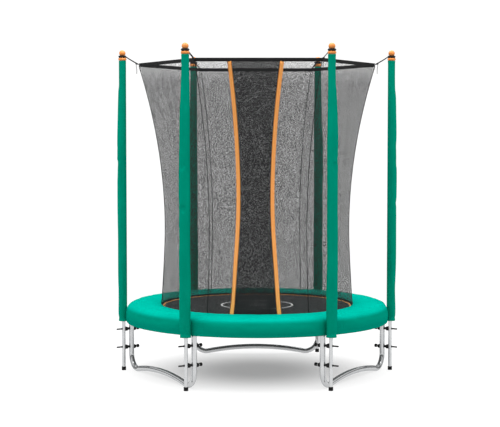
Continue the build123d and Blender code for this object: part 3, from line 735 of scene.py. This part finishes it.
pad_z = section_z - seam_dip + ruffle
pad_points = polar(pad_r - seam_dip * 0.4, turn, pad_z)
wrapped = np.append(pad_angles, 360.0)
pad_cloth = np.stack(np.broadcast_arrays(np.radians(wrapped)[:, None] * 0.8, length_wrap[None, :]), -1)
pad = grid_object("pad_cover", pad_points, GREEN, wrap_rows=True, wrap_cols=True, cloth=pad_cloth)
sewn = np.broadcast_to(to_seam < 0.05, pad_r.shape)
under = ~np.isin(np.arange(len(pad_section)), FOAM_COLUMNS)
simulate(pad, (sewn | under).ravel(), frames=14, pressure=1.8, cap=3.6 * MM, shrink=-0.006)
soften(pad)
subdivide(pad)
fit(pad, node="pad")

inner_piping = polar(pad_section[0, 0] + 1.5 * MM, np.arange(0, 360, 1.5), 478.0 * MM)
piping = tubes_object("pad_inner_piping", [inner_piping], circle_section(4.5 * MM, 12), GREEN, closed=True)
fit(piping)


# ---- pad straps
strap_co = np.array([v.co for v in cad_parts["pad_straps"].data.vertices])
strap_turn = np.degrees(np.arctan2(strap_co[:, 1], strap_co[:, 0]))
groups = []
for angle in sorted(set(np.round(strap_turn / 0.5) * 0.5)):
    if groups and angle - groups[-1][-1] <= 3:
        groups[-1].append(angle)
    else:
        groups.append([angle])
STRAP_WIDTH, STRAP_THICK = 24 * MM, 1.6 * MM
for number, group in enumerate(groups, 1):
    angle = (group[0] + group[-1]) / 2
    out = polar(1.0, angle, 0.0)
    near = np.abs((strap_turn - angle + 180) % 360 - 180) < 3
    mine = strap_co[near] @ out
    centre = (mine.min() + mine.max()) / 2
    half = (mine.max() - mine.min() - STRAP_THICK) / 2
    drop = rail_axis - strap_co[:, 2].min() - STRAP_THICK / 2
    outer_end = [(centre + half, rail_axis + 12 * MM), (centre + half, rail_axis + 6 * MM)]
    loop = [
        (centre + half * math.cos(t), rail_axis + drop * math.sin(t)) for t in np.linspace(0, -math.pi, 19)
    ]
    inner_end = [(centre - half, rail_axis + 14 * MM), (centre - half, 470.6 * MM)]
    path = np.array([out * r + (0, 0, z) for r, z in outer_end + loop + inner_end])
    facing = np.cross(np.gradient(path, axis=0), polar(1.0, angle + 90, 0.0))
    strap = tape_object(f"pad_strap_{number}", path, STRAP_WIDTH, STRAP_THICK, BLACK_TAPE, up=facing)
    fit(strap, node="pad_straps" if number == 1 else None)


# ---- pole sleeves
SLEEVE_TUCK = 2.4 * MM     # the visible cloth runs on to the underside of the cap
sleeve_low, sleeve_high = heights("pole_sleeve_right")
sleeve_rows = np.linspace(sleeve_low + 0.5 * MM, sleeve_high - 0.5 * MM, 232)
sleeve_turn = np.arange(0, 360, 10.0)
sleeve_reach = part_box("pole_foam")[1].x - pole_circle + 1.9 * MM     # least radius, just outside the foam
sleeve_cuts = [slice_node("pole_sleeve_right", z)[:, 0] for z in sleeve_rows]
sleeve_shift = np.array([(cut.max() + cut.min()) / 2 - pole_circle for cut in sleeve_cuts])
sleeve_axis = sleeve_shift[:, None, None] * (1, 0, 0)
sleeve_size = np.array([(cut.max() - cut.min()) / 2 for cut in sleeve_cuts]) - 0.4 * MM


def make_sleeve(seed):
    """A loose sleeve about the origin, hanging outwards along +X, as a grid of points."""
    z, a = sleeve_rows[:, None], sleeve_turn[None, :]
    loose = wobble(z * 2.3, np.sin(np.radians(a)) * 0.25, seed) * 0.7 * MM
    gather = 0.5 * MM * np.sin(np.radians(a) * 7 + seed) * (
        np.exp(-(((z - sleeve_rows[-1]) / 0.05) ** 2)) + 0.6 * np.exp(-(((z - sleeve_rows[0]) / 0.05) ** 2))
    )
    points = polar(sleeve_size[:, None] + loose + gather, a, z) + sleeve_axis
    sleeve = grid_object("sleeve_base", points, SHADED_SLEEVE, wrap_cols=True)
    core_path = np.array([(0, 0, 0.34), (0, 0, 2.2)])
    core = tubes_object("core", [core_path], circle_section(sleeve_reach, 24), FOAM)
    row = np.arange(len(sleeve.data.vertices)) // len(sleeve_turn)
    held = (row < 2) | (row > len(sleeve_rows) - 3)
    simulate(sleeve, held, frames=12, pressure=0.8, cap=3.2 * MM, shrink=-0.014, colliders=(core,))
    bpy.data.objects.remove(core)
    soften(sleeve)
    result = vertex_array(sleeve).reshape(len(sleeve_rows), len(sleeve_turn), 3)
    bpy.data.objects.remove(sleeve)
    return result


# How much fuller each sleeve hangs than the others: heights in metres, change of radius in millimetres.
FULLNESS_HEIGHTS = (0.35, 0.60, 0.95, 1.20, 1.50, 1.70, 1.88, 2.04, 2.19)
FULLNESS = {
    "left": (-4.0, -5.6, -7.2, -6.4, -5.2, -3.2, -3.0, -3.6, 0.0),
    "right": (-3.0, -4.6, -5.2, -5.4, -4.4, -2.6, -2.4, 0.4, 0.8),
    "front_left": (1.0, 2.6, 1.2, 2.4, 0.6, 1.6, 3.4, 3.4, 0.2),
    "front_right": (0.6, 1.2, 0.4, 0.6, 1.2, 2.8, 1.6, -0.8, 0.3),
    "rear_left": (-1.0, 0.4, 1.0, -0.6, -1.4, -1.8, 0.6, 0.8, 0.0),
    "rear_right": (0.6, -0.8, -1.2, -1.8, 0.4, 1.0, 1.4, 0.6, 0.0),
}
sleeve_shapes = [make_sleeve(11), make_sleeve(29)]
sleeve_faces, sleeve_steps = grid_faces(len(sleeve_rows), len(sleeve_turn), wrap_cols=True)
sleeve_cloth = np.array([(math.radians(10 * b) * 33 * MM, sleeve_rows[a]) for a, b in sleeve_steps])
for number, (place, angle) in enumerate(PLACES.items()):
    mirrored = number in (1, 2, 5)
    points = sleeve_shapes[number % 2] * (1, -1 if mirrored else 1, 1)
    change = np.interp(sleeve_rows, FULLNESS_HEIGHTS, FULLNESS[place]) * MM
    change = np.convolve(np.pad(change, 10, mode="edge"), np.full(21, 1 / 21), mode="valid")
    scale = 1 + (change / sleeve_size)[:, None, None] * (1, 1, 0)
    points = (points - sleeve_axis) * scale + sleeve_axis
    from_pole = np.linalg.norm(points[..., :2], axis=-1, keepdims=True)
    points[..., :2] *= np.maximum(1, sleeve_reach / from_pole)
    points[-1, :, 2] += SLEEVE_TUCK
    points = turned(points + (pole_circle, 0, 0), angle)
    faces, cloth = sleeve_faces, sleeve_cloth
    if mirrored:
        faces = [face[::-1] for face in faces]
        cloth = cloth.reshape(-1, 4, 2)[:, ::-1].reshape(-1, 2)
    sleeve = mesh_object(f"sleeve_{place}", points.reshape(-1, 3), faces, SHADED_SLEEVE, cloth)
    wall = sleeve.modifiers.new("Cloth wall", "SOLIDIFY")
    wall.thickness, wall.offset = 1.2 * MM, -1.0
    subdivide(sleeve)
    fit(sleeve, node=f"pole_sleeve_{place}")


# ---- mat, hem and edge line
mat_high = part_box("mat")[1]
mat_rings = np.concatenate([[0.004], np.linspace(0.03, mat_high.x, 34)])
mat_turn = np.arange(0, 360, 3.0)
ring, around_mat = mat_rings[:, None], mat_turn[None, :]
dip = wobble(ring * 3, np.cos(np.radians(around_mat)) * ring, 21) * 0.9 * MM * smooth((0.66 - ring) / 0.2)
top_points = polar(ring, around_mat, mat_high.z - 0.3 * MM + dip)
bottom_points = top_points[::-1] - (0, 0, 1.6 * MM)
mat_points = np.concatenate([top_points, bottom_points])
mat = grid_object("mat_cloth", mat_points, MAT_CLOTH, wrap_rows=True, wrap_cols=True)
fit(mat, ride_mat, "mat")


def ring_band(name, inner, outer, bottom, top, material):
    """A flat sewn ring with rounded edges, with cloth coordinates across and along it."""
    steps = 240
    middle_r, middle_z = (inner + outer) / 2, (bottom + top) / 2
    section = flat_section(outer - inner, top - bottom, 4)
    angles = np.arange(steps) * 360 / steps
    points = polar(middle_r + section[None, :, 0], angles[:, None], middle_z + section[None, :, 1])
    u = np.append(section[:, 0], section[0, 0])
    v = np.radians(np.append(angles, 360)) * middle_r
    cloth = np.stack(np.broadcast_arrays(u[None, :], v[:, None]), -1)
    return grid_object(name, points, material, wrap_rows=True, wrap_cols=True, cloth=cloth)


HEM_INNER = 676.5 * MM      # the webbing starts at the edge of the mat's cloth
hem = ring_band("mat_hem_band", HEM_INNER, hem_high.x, hem_low.z, hem_high.z, MAT_HEM)
fit(hem, ride_mat, "mat_hem")
line_low, line_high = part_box("mat_edge_line")
edge_line = ring_band(
    "mat_edge_piping", line_high.x - 12 * MM, line_high.x, line_low.z, line_high.z, ORANGE_TAPE
)
fit(edge_line, ride_mat, "mat_edge_line")


# ---- V rings and springs
v_rings = link("v_ring_wires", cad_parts["v_rings"].data.copy())
v_rings.data.materials.clear()
v_rings.data.materials.append(ZINC_PARTS)
fit(v_rings, ride_mat, "v_rings")

SPRINGS = 36
SPRING_TURNS, SPRING_RADIUS, SPRING_WIRE = 30, 7.0 * MM, 1.45 * MM
SPRING_AXIS = 459.5 * MM
SPRING_COIL = (746.2 * MM, 859.8 * MM)      # where the coil starts and ends, from the trampoline's axis
# The hooks: radius, distance to one side and height over the spring's axis, in millimetres.
MAT_HOOK = (
    (728.5, 0, 4.0), (726.2, 0, 1.0), (729.2, 0, -2.2), (734.5, 0, -1.0), (740.0, 2, 0.5), (744.5, 5, 0.6),
)
RAIL_HOOK = (
    (861.6, 5, 0.4), (868.0, 2.5, 1.2), (876.0, 0, 0.9), (881.5, 0, -1.0), (884.8, 0, -4.5),
    (884.5, 0, -7.2),
)
winding = np.linspace(0, SPRING_TURNS * 2 * math.pi, SPRING_TURNS * 10 + 1)
coil = np.stack(
    [
        np.linspace(*SPRING_COIL, len(winding)),
        SPRING_RADIUS * np.cos(winding), SPRING_RADIUS * np.sin(winding) + SPRING_AXIS,
    ],
    1,
)
coil_paths, hook_paths = [], []
for angle in 5 + np.arange(SPRINGS) * 360 / SPRINGS:
    coil_paths.append(turned(coil, angle))
    for hook in (MAT_HOOK, RAIL_HOOK):
        hook_paths.append(turned(np.array(hook) * MM + (0, 0, SPRING_AXIS), angle))
coils = tubes_object("spring_coils", coil_paths, circle_section(SPRING_WIRE, 6), ZINC_PARTS)
fit(coils, ride_mat, "springs")
hooks = tubes_object("spring_hooks", hook_paths, circle_section(SPRING_WIRE, 8), ZINC_PARTS)
fit(hooks, ride_mat)


# ---- safety net
def net_sheet(name, start, end, bottom, top, columns, rows, inset, seed, material):
    """Net between two edges.

    start and end give the edge's angle for each height, and inset the depth behind the net's outline.
    """
    z = np.concatenate([np.linspace(bottom, bottom + 0.12, 8)[:-1], np.linspace(bottom + 0.12, top, rows)])
    share = np.linspace(0, 1, columns)[None, :]
    first, last = start(z)[:, None], end(z)[:, None]
    angle = first + (last - first) * share
    level = np.broadcast_to(z[:, None], angle.shape)
    fade = np.minimum(smooth(share / 0.12), smooth((1 - share) / 0.12)) * smooth((band_low - level) / 0.15)
    slack = wobble(angle / 9, level * 1.6, seed) * 2.6 * MM
    slack = slack + wobble(angle / 2.7, level * 0.9, seed + 1) * 1.2 * MM
    radius = net_radius(angle, level) - inset(share, level) + slack * fade
    points = polar(radius, angle, level)
    steps = np.linalg.norm(np.diff(points, axis=1), axis=2)
    arc = np.pad(np.cumsum(steps, axis=1), ((0, 0), (1, 0)))
    arc -= arc[:, columns // 2][:, None]
    return grid_object(name, points, material, cloth=np.stack([arc, level], -1))


def fixed(value):
    return lambda z: np.full(np.shape(z), float(value))


def left_edge(z):
    return front_angle(door_left(z), z)


def right_edge(z):
    return front_angle(door_right(z), z)


def no_inset(share, z):
    return NET_INSET


def behind_flaps(share, z):
    """The right side of the front panel starts behind both flaps and comes forward to the corner."""
    return NET_INSET + 12 * MM * smooth(1 - share / 0.5) * smooth((band_low - z) / 0.1)


NET_INSET = 1.5 * MM
for name, start, end, columns, inset, seed in (
    ("right_rear", fixed(0), fixed(60), 40, no_inset, 31),
    ("rear", fixed(60), fixed(120), 40, no_inset, 32),
    ("left_rear", fixed(120), fixed(180), 40, no_inset, 33),
    ("left_front", fixed(180), fixed(240), 40, no_inset, 34),
    ("right_front", fixed(-60), fixed(0), 40, no_inset, 35),
    ("front_left", fixed(-120), left_edge, 20, no_inset, 36),
    ("front_right", right_edge, fixed(-60), 20, behind_flaps, 37),
):
    sheet = net_sheet(f"net_{name}", start, end, net_foot, band_high, columns, 52, inset, seed, NET)
    fit(sheet, ride_net, f"net_panel_{name}")


def front_tape(name, edge, inset):
    """Orange tape along one edge of the entrance."""
    z = np.linspace(tape_foot, band_low, 90)
    angle = front_angle(edge(z), z)
    path = polar(net_radius(angle, z) - inset, angle, z)
    return tape_object(name, path, TAPE, 2.4 * MM, ORANGE_TAPE, up=outward(path))


def flap(name, inset, seed, material):
    return net_sheet(name, left_edge, right_edge, tape_foot, band_low + 2 * MM, 26, 60, inset, seed, material)


tape_foot = net_foot + 3 * MM     # the flaps and the tapes are sewn down along the hem
INNER_DEPTH = 15.5 * MM           # how far behind the outline the inner flap hangs
fit(front_tape("door_seam_left", door_left, 1.0 * MM), ride_net, "entrance_seam_tapes")
fit(front_tape("door_seam_right", door_right, 14.5 * MM), ride_net)
outer_flap = flap("outer_flap_net", lambda share, z: 2.4 * MM - 1.2 * MM * share, 41, FLAP_NET)
fit(outer_flap, ride_outer, "outer_flap")
outer_tape = front_tape("outer_flap_binding", door_right, 0.6 * MM)
fit(outer_tape, ride_outer, "outer_flap_tape")
inner_flap = flap("inner_flap_net", lambda share, z: INNER_DEPTH, 43, INNER_NET)
fit(inner_flap, ride_inner, "inner_flap")
inner_tape = front_tape("inner_flap_binding", door_left, INNER_DEPTH)
fit(inner_tape, ride_inner, "inner_flap_tape")


def edge_webbing(name, level, height, width, thickness):
    """Black webbing round the net at a level, drawn at a height."""
    turn = np.concatenate([start + np.arange(0, 60, 1.5) for start in POLE_ANGLES])
    path = polar(net_radius(turn, level) + 0.2 * MM, turn, height)
    return tape_object(name, path, width, thickness, BLACK_TAPE, up=outward(path), closed=True)


band = edge_webbing("net_top_webbing", net_high, (band_low + band_high) / 2, 25 * MM, 2.6 * MM)
fit(band, node="net_top_band")
foot = edge_webbing("net_foot_webbing", net_low + 4 * MM, net_foot + 4 * MM, 7 * MM, 2.2 * MM)
fit(foot, ride_net)
for place, angle in PLACES.items():
    z = np.linspace(net_foot + 2 * MM, band_low + 2 * MM, 100)
    path = polar(net_radius(angle, z) + 0.8 * MM, angle, z)
    seam = tubes_object(f"net_corner_seam_{place}", [path], circle_section(2.4 * MM, 10), BLACK_PLASTIC)
    fit(seam, ride_net)


# ---- cords at the net corners
corner = float(net_radius(0, net_high))
NECK = 2222.5 * MM      # height of the cap's neck, where the cord is tied
EYELET = 2169 * MM      # height of the net corner's eyelet
KNOT_HEIGHT = 2174.5    # in millimetres, as in the two tables below
# One free end: distance outside the corner, swing to one side, and height, in millimetres.
TAIL = (19, 0, 2173), (21, 1, 2166), (20, 1.5, 2152), (17, 2, 2136), (16.5, 1, 2118), (17.5, 0, 2103)
# One knot: distance outside the corner in millimetres, and the tilt of each of its loops.
KNOT = (17, 0.5), (20, -0.5), (22.5, 0.9)
loop = np.linspace(0, 2 * math.pi, 20)[:-1]
share = np.linspace(0, 1, 16)[:, None]
sag = -np.sin(share * math.pi) * 1.5 * MM * np.array((0, 0, 1))
cord_paths, tail_paths, knot_paths = [], [], []
for place, angle in PLACES.items():
    for sign in (-1, 1):
        start = np.array((pole_circle - 24 * MM, sign * 3 * MM, NECK + sign * 1.2 * MM))
        end = np.array((corner + 4 * MM, sign * 1.2 * MM, EYELET + sign * 2.2 * MM))
        cord_paths.append(turned(start + (end - start) * share + sag, angle))
    for height, size in ((NECK, 25.6 * MM), (NECK + 3.2 * MM, 25.4 * MM)):
        ring = np.stack([pole_circle + size * np.cos(loop), size * np.sin(loop), 0 * loop + height], 1)
        knot_paths.append(turned(ring, angle))
    for away, tilt in KNOT:
        turn_out, turn_side = np.cos(loop), np.sin(loop)
        knot = np.stack([away + 3.6 * turn_out * tilt, 4.0 * turn_side, KNOT_HEIGHT + 4.0 * turn_out], 1) * MM
        knot_paths.append(turned(knot + (corner, 0, 0), angle))
    swing = 1 if place in ("left", "front_left", "rear_left") else -1
    tail_paths.append(turned(np.array(TAIL) * (MM, swing * MM, MM) + (corner, 0, 0), angle))
cords = tubes_object("net_corner_cords", cord_paths, circle_section(2.6 * MM, 8), BLACK_PLASTIC)
knots = tubes_object("net_cord_knots", knot_paths, circle_section(3.0 * MM, 8), BLACK_PLASTIC, closed=True)
tails = tubes_object("net_cord_tails", tail_paths, circle_section(1.9 * MM, 8), BLACK_PLASTIC)
fit(cords, node="net_cords")
fit(knots)
fit(tails)


# ---- studio
BACKDROP = 1.04        # brightness of the white behind and around the object
FLOOR = 40             # half the floor's side in metres
LAMPS = (              # name, place, size and power
    ("key", (-1.2, -1.3, 6.0), 3.4, 130), ("fill", (2.2, -0.6, 5.8), 3.2, 60),
    ("back", (0.4, 2.2, 5.8), 3.4, 80),
)
LAMP_AIM = Vector((0, 0, 0.9))
# What shines in the metal: the light over the direction's height, 0 straight down and 1 straight up.
REFLECTIONS = (
    (0.50, (0.62, 0.62, 0.62)), (0.56, (0.10, 0.10, 0.105)), (0.62, (0.08, 0.08, 0.08)),
    (0.67, (0.74, 0.74, 0.74)), (0.84, (0.95, 0.95, 0.95)), (0.90, (0.45, 0.45, 0.45)),
)


def floor_paper():
    """White paper that glows less near the object, a painted shadow added to the soft shadow that the lamps
    cast under it, which fades out into the white backdrop.
    """
    n = Nodes("floor_paper")
    away = n.add("VectorMath", {0: n.position}, operation="LENGTH").outputs["Value"]
    # Painted shadow: the paper's glow is weakest under the object's middle and grows outwards.
    painted_shadow_glow = {0: away, 1: 0.15, 2: 1.12, 3: 0.28, 4: 0.88}
    painted_shadow_glow = n.add("MapRange", painted_shadow_glow, interpolation_type="SMOOTHSTEP").outputs[0]
    white_share = n.times(n.math("SUBTRACT", BACKDROP, painted_shadow_glow), 0.62)
    grey = n.math("MULTIPLY_ADD", n.noise(n.position, 0.6, 2.0), 0.02, white_share)
    tone = n.add("CombineColor", {0: grey, 1: grey, 2: grey}).outputs[0]
    bounced = n.add("LightPath").outputs["Is Diffuse Ray"]
    paper = n.principled(tone, 0.9, Emission_Color=rgba(1, 1, 1), Emission_Strength=painted_shadow_glow)
    dull = n.add("BsdfDiffuse", {"Color": rgba(0.20, 0.20, 0.20)}).outputs[0]
    white = n.add("Emission", {"Color": rgba(1, 1, 1), "Strength": BACKDROP}).outputs[0]
    fade = n.times(n.ramp(away, 2.4, 5.0), n.math("SUBTRACT", 1.0, bounced))
    return n.finish(n.blend(fade, n.blend(bounced, paper, dull), white))


def surroundings():
    """Plain white for the camera, bright from above for the cloth, and bands of light for what shines."""
    n = Nodes("studio", bpy.data.worlds)
    height = n.split(n.add("TexCoord").outputs["Generated"])[2]
    bands = n.add("ValToRGB", {0: n.ramp(height, -1.0, 1.0)})
    stops = bands.color_ramp.elements
    for number, (position, light) in enumerate(REFLECTIONS):
        stop = stops[number] if number < 2 else stops.new(position)
        stop.position, stop.color = position, rgba(*light)
    sky = n.add("MapRange", {0: height, 1: 0.0, 2: 0.9, 3: 0.04, 4: 2.5}).outputs[0]
    rays = n.add("LightPath").outputs
    seen = n.mix(rays["Is Camera Ray"], sky, rgba(BACKDROP, BACKDROP, BACKDROP))
    light = n.mix(rays["Is Glossy Ray"], seen, bands.outputs[0])
    return n.finish(n.add("Background", {0: light, 1: 1.0}).outputs[0], "OutputWorld")


def studio():
    scene = bpy.context.scene
    floor_mesh = bpy.data.meshes.new("floor")
    corners = [(-FLOOR, -FLOOR, 0), (FLOOR, -FLOOR, 0), (FLOOR, FLOOR, 0), (-FLOOR, FLOOR, 0)]
    floor_mesh.from_pydata(corners, [], [(0, 1, 2, 3)])
    floor_mesh.materials.append(floor_paper())
    floor = link("floor", floor_mesh)
    floor.location.z = -1 * MM
    scene.world = surroundings()
    for name, place, size, power in LAMPS:
        lamp = bpy.data.lights.new(name, "AREA")
        lamp.shape, lamp.size, lamp.energy = "DISK", size, power
        obj = link(name, lamp)
        obj.location = place
        obj.rotation_euler = (LAMP_AIM - Vector(place)).to_track_quat("-Z", "Y").to_euler()
    camera = bpy.data.cameras.new("camera")
    camera.lens, camera.sensor_width, camera.sensor_fit = 100.54, 36.0, "HORIZONTAL"
    view = link("camera", camera)
    view.location = (-0.118, -9.890, 1.671)
    view.rotation_euler = (math.radians(90 - 3.207), 0.0, -0.0069)
    scene.camera = view
    scene.view_settings.view_transform = "Standard"


studio()
